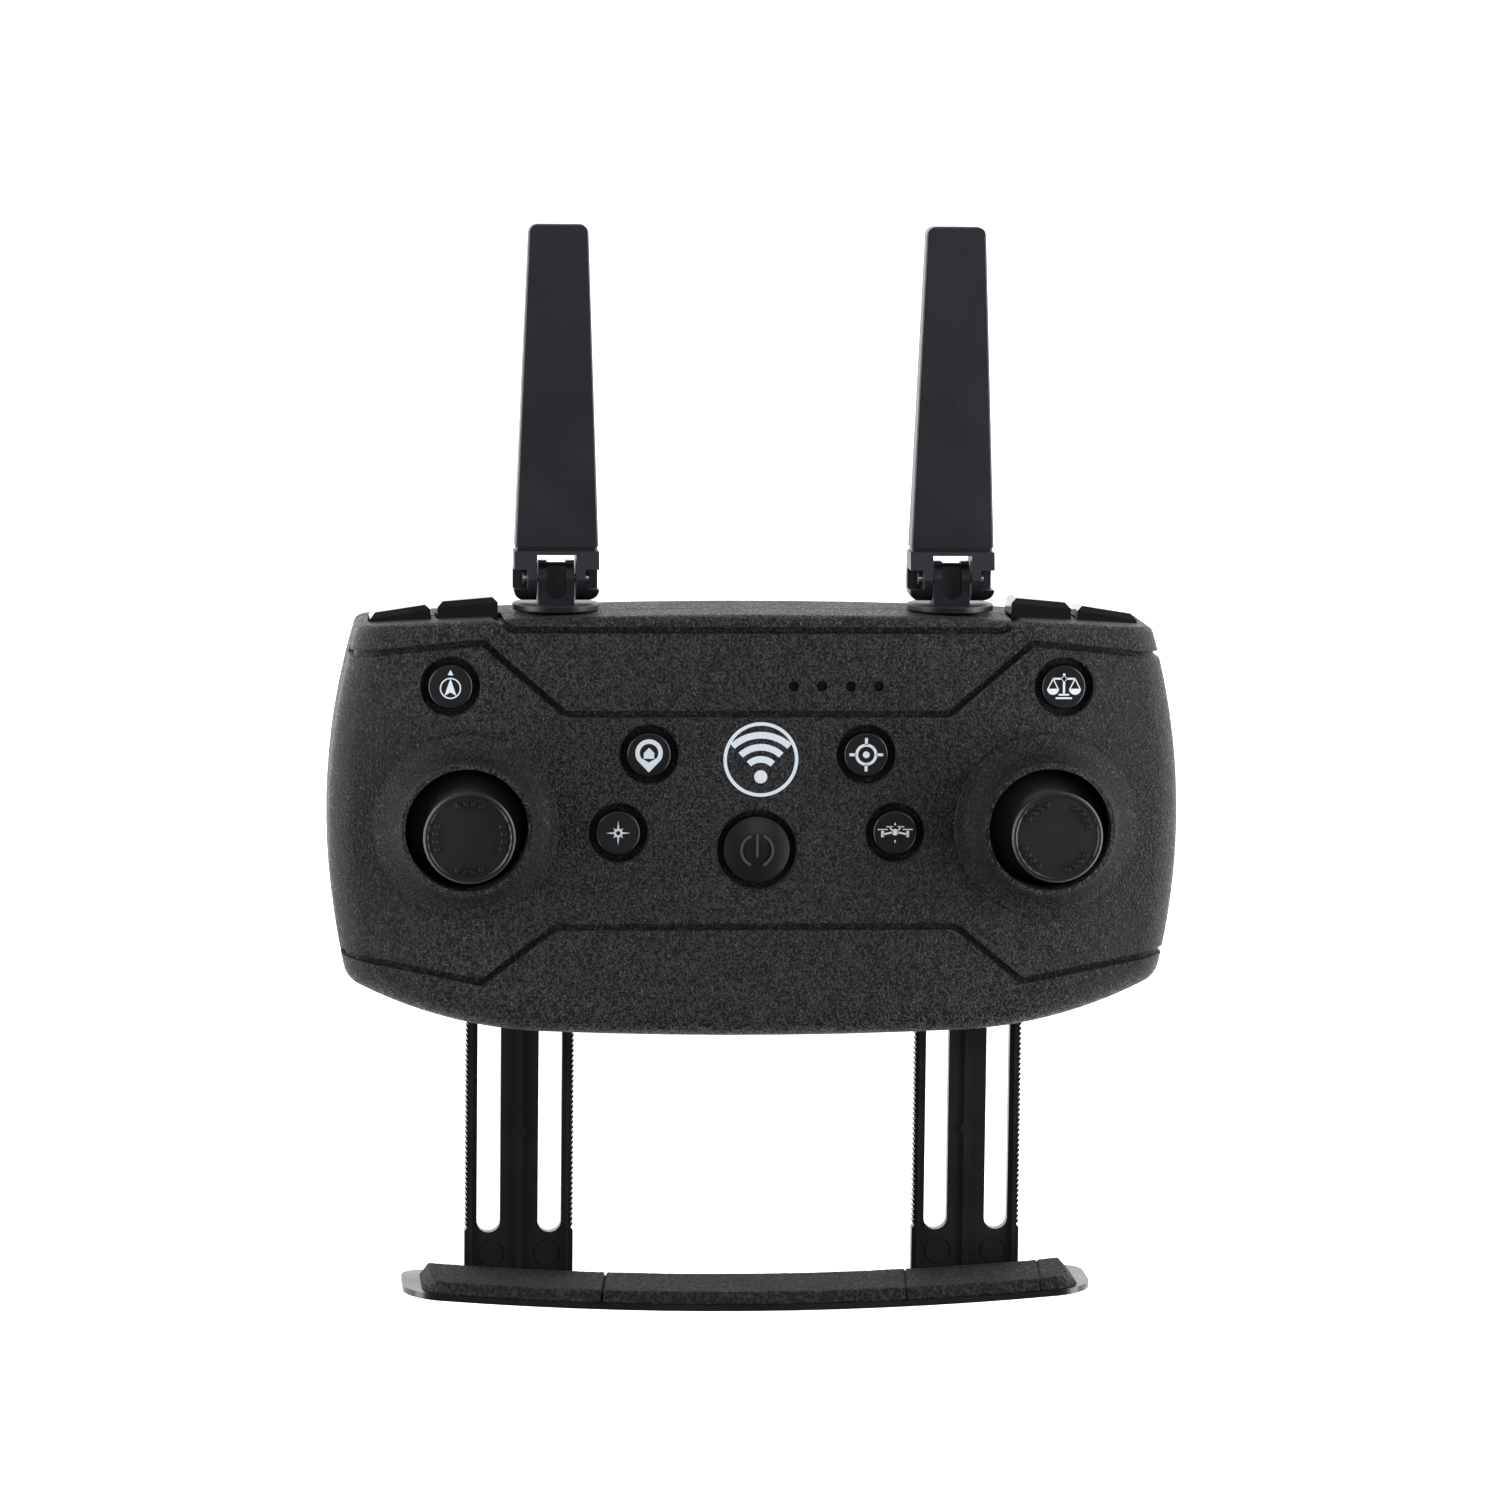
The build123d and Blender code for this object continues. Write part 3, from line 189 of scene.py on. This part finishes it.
def satin_plastic(name, dark, light, rough, rough_var, fine_scale=2600.0, fine_bump=0.00002, coat=0.0, spec=0.5, scratch=0.25):
    """Smooth moulded plastic with soft colour drift, micro texture and hairline handling marks."""
    m, nt, b = new_material(name)
    v = coords(nt)
    cloud = noise_tex(nt, v, 70.0, 5.0, 0.55)
    nt.links.new(ramp(nt, cloud, [(0.3, dark), (0.7, light)]), b.inputs["Base Color"])
    fine = noise_tex(nt, v, fine_scale, 2.0, 0.5)
    hair = noise_tex(nt, coords(nt, (1.0, 14.0, 3.0)), 420.0, 2.0, 0.7)
    hairline = ramp(nt, hair, [(0.60, (0.0,) * 3), (0.66, (1.0,) * 3), (0.72, (0.0,) * 3)])
    rbase = ramp(nt, cloud, [(0.3, (rough - rough_var,) * 3), (0.7, (rough + rough_var,) * 3)])
    rr = math_node(nt, "ADD", rbase, math_node(nt, "MULTIPLY", hairline, 0.08 * scratch * 4))
    nt.links.new(rr, b.inputs["Roughness"])
    n1 = bump(nt, fine, 0.35, fine_bump)
    n2 = bump(nt, hairline, 0.12 * scratch, 0.00002, n1)
    nt.links.new(n2, b.inputs["Normal"])
    setp(b, Specular_IOR_Level=spec, Coat_Weight=coat, Coat_Roughness=0.08)
    return m


def metal(name, col, rough, stretch=(1, 1, 1), scale=900.0):
    m, nt, b = new_material(name)
    v = coords(nt, stretch)
    n = noise_tex(nt, v, scale, 4.0, 0.6)
    cloud = noise_tex(nt, coords(nt), 120.0, 3.0, 0.5)
    nt.links.new(ramp(nt, cloud, [(0.3, tuple(c * 0.8 for c in col)), (0.7, col)]), b.inputs["Base Color"])
    nt.links.new(ramp(nt, n, [(0.3, (rough * 0.75,) * 3), (0.7, (rough * 1.3,) * 3)]), b.inputs["Roughness"])
    nt.links.new(bump(nt, n, 0.25, 0.00003), b.inputs["Normal"])
    setp(b, Metallic=1.0)
    return m


def foam_material(name):
    m, nt, b = new_material(name)
    v = coords(nt)
    cell = voronoi(nt, v, 1500.0)
    cell2 = voronoi(nt, v, 3300.0)
    mixd = math_node(nt, "MULTIPLY", cell, cell2)
    cloud = noise_tex(nt, v, 160.0, 5.0, 0.6)
    # the cell pits are painted darker than their rims: painted shade in the foam's pores, on its own dark tone
    base = ramp(nt, cell, [(0.0, (0.003, 0.003, 0.0028)), (0.45, (0.012, 0.0117, 0.011)), (0.9, (0.034, 0.0325, 0.030))])
    tint = ramp(nt, cloud, [(0.3, (0.75, 0.75, 0.75)), (0.7, (1.1, 1.08, 1.04))])
    mul = nt.nodes.new("ShaderNodeMix")
    mul.data_type = "RGBA"
    mul.blend_type = "MULTIPLY"
    mul.inputs[0].default_value = 1.0
    nt.links.new(base, mul.inputs[6])
    nt.links.new(tint, mul.inputs[7])
    nt.links.new(mul.outputs[2], b.inputs["Base Color"])
    nt.links.new(ramp(nt, mixd, [(0.0, (0.98,) * 3), (0.6, (0.78,) * 3)]), b.inputs["Roughness"])
    n1 = bump(nt, cell, 0.9, 0.00022)
    n2 = bump(nt, noise_tex(nt, v, 500.0, 4.0, 0.6), 0.6, 0.0003, n1)
    nt.links.new(n2, b.inputs["Normal"])
    setp(b, Specular_IOR_Level=0.25)
    return m


def print_material(name, col):
    m, nt, b = new_material(name)
    v = coords(nt)
    n = noise_tex(nt, v, 2600.0, 2.0, 0.6)
    nt.links.new(ramp(nt, n, [(0.3, tuple(c * 0.86 for c in col)), (0.65, col)]), b.inputs["Base Color"])
    nt.links.new(ramp(nt, n, [(0.3, (0.62,) * 3), (0.7, (0.48,) * 3)]), b.inputs["Roughness"])
    nt.links.new(bump(nt, n, 0.3, 0.00003), b.inputs["Normal"])
    return m


MATS = {
    "shell_black": grained_plastic("shell_black", (0.0010, 0.0010, 0.0012), (0.086, 0.086, 0.091), 0.22, 0.66, 1250.0, 0.00030, 1.0, 0.34),
    "gloss_black": satin_plastic("gloss_black", (0.006, 0.006, 0.007), (0.009, 0.009, 0.010), 0.18, 0.04, 3000.0, 0.00001, 0.3),
    # the stick domes get a lighter copy of the gloss black: painted reflection standing in for the sheen of the glossy
    # dome
    "dome_sheen_lightened": satin_plastic("dome_sheen_lightened", (0.030, 0.030, 0.032), (0.040, 0.040, 0.043), 0.30, 0.04, 3000.0, 0.00001, 0.2),
    "button_black": satin_plastic("button_black", (0.006, 0.006, 0.007), (0.010, 0.010, 0.011), 0.34, 0.05, 3200.0, 0.00003),
    "cap_rubber": satin_plastic("cap_rubber", (0.005, 0.005, 0.0055), (0.008, 0.008, 0.009), 0.44, 0.07, 3600.0, 0.00006),
    "antenna_black": satin_plastic("antenna_black", (0.0090, 0.0100, 0.0140), (0.013, 0.0145, 0.0195), 0.36, 0.05, 2800.0, 0.00006),
    "rack_black": satin_plastic("rack_black", (0.006, 0.006, 0.0068), (0.009, 0.009, 0.010), 0.32, 0.06, 2500.0, 0.00004),
    "foam_black": foam_material("foam_black"),
    "inner_plastic": satin_plastic("inner_plastic", (0.03, 0.03, 0.034), (0.05, 0.05, 0.055), 0.5, 0.06),
    "board_green": satin_plastic("board_green", (0.006, 0.055, 0.018), (0.012, 0.085, 0.03), 0.35, 0.05, 900.0, 0.00004),
    "chip_black": satin_plastic("chip_black", (0.012, 0.012, 0.012), (0.022, 0.022, 0.022), 0.55, 0.05),
    # near-black LED lens: painted shade of the deep LED holes, not the clear lens colour
    "led_clear": satin_plastic("led_clear", (0.003, 0.003, 0.003), (0.006, 0.005, 0.005), 0.3, 0.05),
    "cell_wrap": satin_plastic("cell_wrap", (0.02, 0.06, 0.045), (0.03, 0.08, 0.06), 0.25, 0.05),
    "module_can": metal("module_can", (0.6, 0.6, 0.6), 0.35),
    "contact_steel": metal("contact_steel", (0.72, 0.71, 0.68), 0.25),
    "screw_steel": metal("screw_steel", (0.24, 0.24, 0.25), 0.38),
    "pin_steel": metal("pin_steel", (0.62, 0.61, 0.6), 0.3),
    "pot_metal": metal("pot_metal", (0.5, 0.5, 0.5), 0.4),
}
PRINT = print_material("legend_print", (0.80, 0.88, 0.96))
# grey for the power sign lines: painted highlight on its relief, not print
POWER_SIGN_HIGHLIGHT = print_material("power_sign_painted_highlight", (0.055, 0.055, 0.058))
SLOT_OF = {s["node"]: s["material_slot"] for s in frame["record"]["subparts"]}
for node, o in frame["nodes"].items():
    slot = "dome_sheen_lightened" if node.startswith("stick_dome") else SLOT_OF.get(node, "inner_plastic")
    mat = MATS[slot]
    o.data.materials.clear()
    o.data.materials.append(mat)

# ------------------------------------------------------------------ flat marks
def mesh_object(name, bm, mat):
    me = bpy.data.meshes.new(name)
    bm.to_mesh(me)
    bm.free()
    o = bpy.data.objects.new(name, me)
    bpy.context.scene.collection.objects.link(o)
    me.materials.append(mat)
    return o


class Mark:
    """Thin raised print built from simple flat shapes, in millimetres about a centre."""

    def __init__(self, cx, cy, z, thick=0.04):
        self.bm = bmesh.new()
        self.c = (cx, cy, z)
        self.t = thick

    def prism(self, pts):
        cx, cy, z = self.c
        lo = [self.bm.verts.new(P(cx + x, cy + y, z)) for x, y in pts]
        hi = [self.bm.verts.new(P(cx + x, cy + y, z + self.t)) for x, y in pts]
        n = len(pts)
        self.bm.faces.new(hi)
        self.bm.faces.new(list(reversed(lo)))
        for i in range(n):
            j = (i + 1) % n
            self.bm.faces.new((lo[i], lo[j], hi[j], hi[i]))

    def disc(self, x, y, r, n=40):
        self.prism([(x + r * math.cos(2 * math.pi * i / n), y + r * math.sin(2 * math.pi * i / n)) for i in range(n)])

    def arc(self, x, y, r0, r1, a0, a1, n=36):
        for i in range(n):
            b0 = math.radians(a0 + (a1 - a0) * i / n)
            b1 = math.radians(a0 + (a1 - a0) * (i + 1) / n)
            self.prism([(x + r0 * math.cos(b0), y + r0 * math.sin(b0)), (x + r1 * math.cos(b0), y + r1 * math.sin(b0)),
                        (x + r1 * math.cos(b1), y + r1 * math.sin(b1)), (x + r0 * math.cos(b1), y + r0 * math.sin(b1))])

    def bar(self, x0, y0, x1, y1, w):
        dx, dy = x1 - x0, y1 - y0
        l = math.hypot(dx, dy)
        nx, ny = -dy / l * w / 2, dx / l * w / 2
        self.prism([(x0 - nx, y0 - ny), (x1 - nx, y1 - ny), (x1 + nx, y1 + ny), (x0 + nx, y0 + ny)])

    def done(self, name, body, mat=PRINT):
        bmesh.ops.recalc_face_normals(self.bm, faces=self.bm.faces)
        o = mesh_object(name, self.bm, mat)
        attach(o, body)
        return o


ZB = 40.055
# compass: ring, arrowhead and a small north tick
k = Mark(-58.1, 26.4, ZB)
k.arc(0, -0.3, 1.75, 2.0, 0, 360, 60)
k.prism([(0, 1.6), (1.15, -1.75), (0, -1.05), (-1.15, -1.75)])
k.prism([(-0.55, 2.2), (0.55, 2.2), (0, 3.2)])
k.done("legend_compass", "button_compass")
# level: balance
k = Mark(58.1, 26.4, ZB)
k.bar(0, 2.6, 0, -1.2, 0.42)
k.bar(-2.1, 1.6, 2.1, 1.6, 0.34)
k.disc(0, 1.6, 0.5, 24)
for s in (-1, 1):
    k.bar(s * 2.1, 1.6, s * 2.1 - 0.95, -0.3, 0.22)
    k.bar(s * 2.1, 1.6, s * 2.1 + 0.95, -0.3, 0.22)
    k.arc(s * 2.1, -0.3, 0.0001, 1.15, 180, 360, 24)
k.bar(-1.0, -1.45, 1.0, -1.45, 0.34)
k.bar(-1.55, -2.1, 1.55, -2.1, 0.34)
k.done("legend_level", "button_level")
# home: map pin round a small house
k = Mark(-20.6, 13.5, ZB)
k.arc(0, 0.35, 1.75, 2.6, -35, 215, 60)
k.prism([(-2.13, -1.14), (-1.43, -0.65), (0, -1.45), (1.43, -0.65), (2.13, -1.14), (0, -3.35)])
k.prism([(-1.0, 0.35), (-1.0, -0.75), (1.0, -0.75), (1.0, 0.35), (0, 1.35)])
k.done("legend_home", "button_home")
# position fix: cross-hair
k = Mark(20.6, 13.5, ZB)
k.arc(0, 0, 1.55, 2.1, 0, 360, 60)
k.disc(0, 0, 0.65, 28)
for a in range(4):
    c, s = math.cos(a * math.pi / 2), math.sin(a * math.pi / 2)
    k.bar(1.9 * c, 1.9 * s, 3.2 * c, 3.2 * s, 0.55)
k.done("legend_fix", "button_gps")
# headless: eight-pointed star
k = Mark(-26.3, -1.4, ZB)
for i in range(8):
    a = math.radians(45 * i + 90)
    l = 2.35 if i % 2 == 0 else 1.35
    ca, sa = math.cos(a), math.sin(a)
    k.prism([(0.75 * ca - 0.2 * sa, 0.75 * sa + 0.2 * ca), (0.75 * ca + 0.2 * sa, 0.75 * sa - 0.2 * ca), (l * ca, l * sa)])
k.arc(0, 0, 0.42, 0.82, 0, 360, 32)
k.done("legend_star", "button_headless")
# rotor: craft with two visible rotors
k = Mark(26.3, -1.4, ZB)
k.disc(0, 0.1, 0.62, 24)
for s in (-1, 1):
    k.bar(s * 0.4, 0.1, s * 2.4, -0.35, 0.34)
    k.bar(s * 2.4, -0.85, s * 2.4, 0.35, 0.52)
    k.bar(s * 1.45, 0.62, s * 3.35, 0.62, 0.18)
    k.bar(s * 0.4, 0.3, s * 1.0, 0.95, 0.24)
    k.bar(s * 0.45, 1.15, s * 1.7, 1.15, 0.16)
    k.prism([(-0.16, s * 1.45), (0.16, s * 1.45), (0.0, s * 2.1)])
k.done("legend_rotor", "button_rotor")
# power: thin grey lines on the raised sign, painted highlights standing in for the edges of its relief
k = Mark(0.0, -4.6, 41.15, 0.03)
for a0 in (-68, 112):
    k.arc(0, 0, 2.75, 3.25, a0, a0 + 136, 40)
k.bar(0, -1.2, 0, 3.2, 0.5)
k.done("power_sign_highlight_lines", "button_power", POWER_SIGN_HIGHLIGHT)
# emblem: plain wireless sign cut out of a round badge
k = Mark(0.6, 12.6, 40.0, 0.05)
k.arc(0, 0, 6.45, 7.1, 0, 360, 96)
k.disc(0, -3.3, 1.25, 32)
for r in (2.7, 5.0, 7.3):
    k.arc(0, -3.3, r, r + 1.25, 47, 133, 40)
k.done("emblem_print", "housing")

# ------------------------------------------------------------------ foam strip of the clip
def foam_strip():
    lo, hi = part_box("clip_pad")
    bm = bmesh.new()
    R = 706.0
    c = -94.4 + R
    ny = 900
    X0, X1 = -62.9, 63.9
    slits = [(-28.5, 0.16, 1.0), (30.2, 0.12, 0.55), (56.2, 0.12, 0.45)]
    z0, z1 = 19.6, 36.7
    ring_pts = []
    t0, t1 = 1.2, 3.7                       # distance from the outer arc
    def section(n_side=26, n_thick=10):
        pts = []
        rad = 0.35
        for i in range(n_thick + 1):
            pts.append((t0 + (t1 - rad - t0) * i / n_thick, z1))
        for i in range(1, 4):
            a = math.pi / 2 * i / 4
            pts.append((t1 - rad + rad * math.sin(a), z1 - rad + rad * math.cos(a)))
        for i in range(n_side + 1):
            pts.append((t1, z1 - rad + (z0 + rad - z1 + rad) * i / n_side))
        for i in range(1, 4):
            a = math.pi / 2 * i / 4
            pts.append((t1 - rad + rad * math.cos(a), z0 + rad - rad * math.sin(a)))
        for i in range(n_thick + 1):
            pts.append((t1 - rad + (t0 - t1 + rad) * i / n_thick, z0))
        return pts
    sec = section()
    rows = []
    for j in range(ny + 1):
        x = X0 + (X1 - X0) * j / ny
        row = []
        edge = min(x - X0, X1 - x, 4.2)
        for (t, z) in sec:
            # rounded upper corners at the two ends
            zz = z
            lim_hi, lim_lo = z1, z0
            if edge < 4.2:
                d = 4.2 - edge
                drop = 4.2 - math.sqrt(max(4.2 ** 2 - d ** 2, 0.0))
                lim_hi = z1 - drop
            zz = min(max(z, lim_lo), lim_hi)
            # oblique ends: the face towards the housing is cut back
            shift = 1.6 * (t - t0) / (t1 - t0) * (1 if x > 0 else -1)
            xs = x - shift * max(0.0, (abs(x) - 57.0) / 6.0)
            n = noise.noise(Vector((xs * 0.9, t * 1.1, zz * 0.9))) * 0.06 + noise.noise(Vector((xs * 3.1, t * 3, zz * 3.1))) * 0.045
            n += noise.noise(Vector((xs * 0.12, 3.0, zz * 0.1))) * 0.10
            tt = t
            if t > t0 + 0.3:
                tt = t + n
            zt = zz
            if abs(z - z1) < 0.4:
                zt = zz + n * 0.9 - 0.08
            for sx, w, depth in slits:
                lean = sx + 0.10 * (z1 - zz)
                dx = abs(xs - lean)
                if dx < w * 2.2:
                    k_ = (1 - dx / (w * 2.2))
                    if t > t0 + 0.25:
                        tt -= k_ * 0.8 * depth
                    if abs(z - z1) < 0.4:
                        zt -= k_ * 0.7 * depth
            tt = max(tt, t0 + 0.02) if t > t0 + 1e-6 else t0 + 0.01
            r = R - tt
            ang = xs / R
            row.append(bm.verts.new(P(r * math.sin(ang), c - r * math.cos(ang), zt)))
        rows.append(row)
    m = len(sec)
    for j in range(ny):
        for i in range(m):
            a, b2 = rows[j][i], rows[j][(i + 1) % m]
            c2, d2 = rows[j + 1][(i + 1) % m], rows[j + 1][i]
            try:
                bm.faces.new((a, b2, c2, d2))
            except ValueError:
                pass
    bm.faces.new(rows[0])
    bm.faces.new(list(reversed(rows[-1])))
    bmesh.ops.recalc_face_normals(bm, faces=bm.faces)
    o = mesh_object("foam_strip", bm, MATS["foam_black"])
    for p in o.data.polygons:
        p.use_smooth = True
    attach(o, "phone_holder")
    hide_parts("clip_pad")
    return o


foam_strip()

# ------------------------------------------------------------------ stage
def floor_material():
    m = bpy.data.materials.new("floor_white")
    m.use_nodes = True
    nt = m.node_tree
    b = nt.nodes["Principled BSDF"]
    v = coords(nt)
    n = noise_tex(nt, v, 3.0, 3.0, 0.5)
    nt.links.new(ramp(nt, n, [(0.3, (0.88, 0.88, 0.88)), (0.7, (0.90, 0.90, 0.90))]), b.inputs["Base Color"])
    setp(b, Roughness=0.9, Specular_IOR_Level=0.1, Emission_Strength=1.0)
    b.inputs["Emission Color"].default_value = (1, 1, 1, 1)
    return m


bm = bmesh.new()
s = 3.0
vs = [bm.verts.new((x, y, -0.0002)) for x, y in ((-s, -s), (s, -s), (s, s), (-s, s))]
bm.faces.new(vs)
floor = mesh_object("floor", bm, floor_material())

bpy.context.scene.view_settings.view_transform = "Standard"
world = bpy.data.worlds.new("world")
bpy.context.scene.world = world
world.use_nodes = True
world.node_tree.nodes["Background"].inputs[0].default_value = (1, 1, 1, 1)
world.node_tree.nodes["Background"].inputs[1].default_value = 0.09


def area(name, loc, target, size, power, size_y=None, color=(1, 1, 1)):
    d = bpy.data.lights.new(name, "AREA")
    d.energy = power
    d.color = color
    d.shape = "RECTANGLE" if size_y else "SQUARE"
    d.size = size
    if size_y:
        d.size_y = size_y
    o = bpy.data.objects.new(name, d)
    bpy.context.scene.collection.objects.link(o)
    o.location = loc
    o.rotation_euler = (Vector(target) - Vector(loc)).to_track_quat("-Z", "Y").to_euler()
    return o


area("left_box", (-0.29, 0.0, 0.125), (-0.05, 0, 0.037), 0.45, 1.45, 0.13)
area("right_box", (0.27, 0.0, 0.125), (0.05, 0, 0.037), 0.45, 1.60, 0.13)
area("top_box", (0.0, 0.9, 0.55), (0, 0, 0.03), 1.4, 0.9, 0.5)
area("overhead", (0.15, 0.5, 1.5), (0, 0, 0.0), 0.8, 1.7, 0.8)

# ------------------------------------------------------------------ camera
cam = bpy.data.cameras.new("camera")
cam_obj = bpy.data.objects.new("camera", cam)
bpy.context.scene.collection.objects.link(cam_obj)
cam.sensor_fit = "HORIZONTAL"
cam.sensor_width = 36.0
cam.lens = 150.83
xr = Vector((0.9960569270879356, 0.011000202812525745, 0.08803177573025858))
yr = Vector((0.00039608183704944663, 0.9917218213919685, -0.12840433051176733))
zc = xr.cross(yr).normalized()
cam_obj.matrix_world = Matrix.Translation(P(-106.77769, 166.24316, 1212.36844)) @ Matrix((xr, yr, zc)).transposed().to_4x4()
cam.clip_end = 20.0
bpy.context.scene.camera = cam_obj
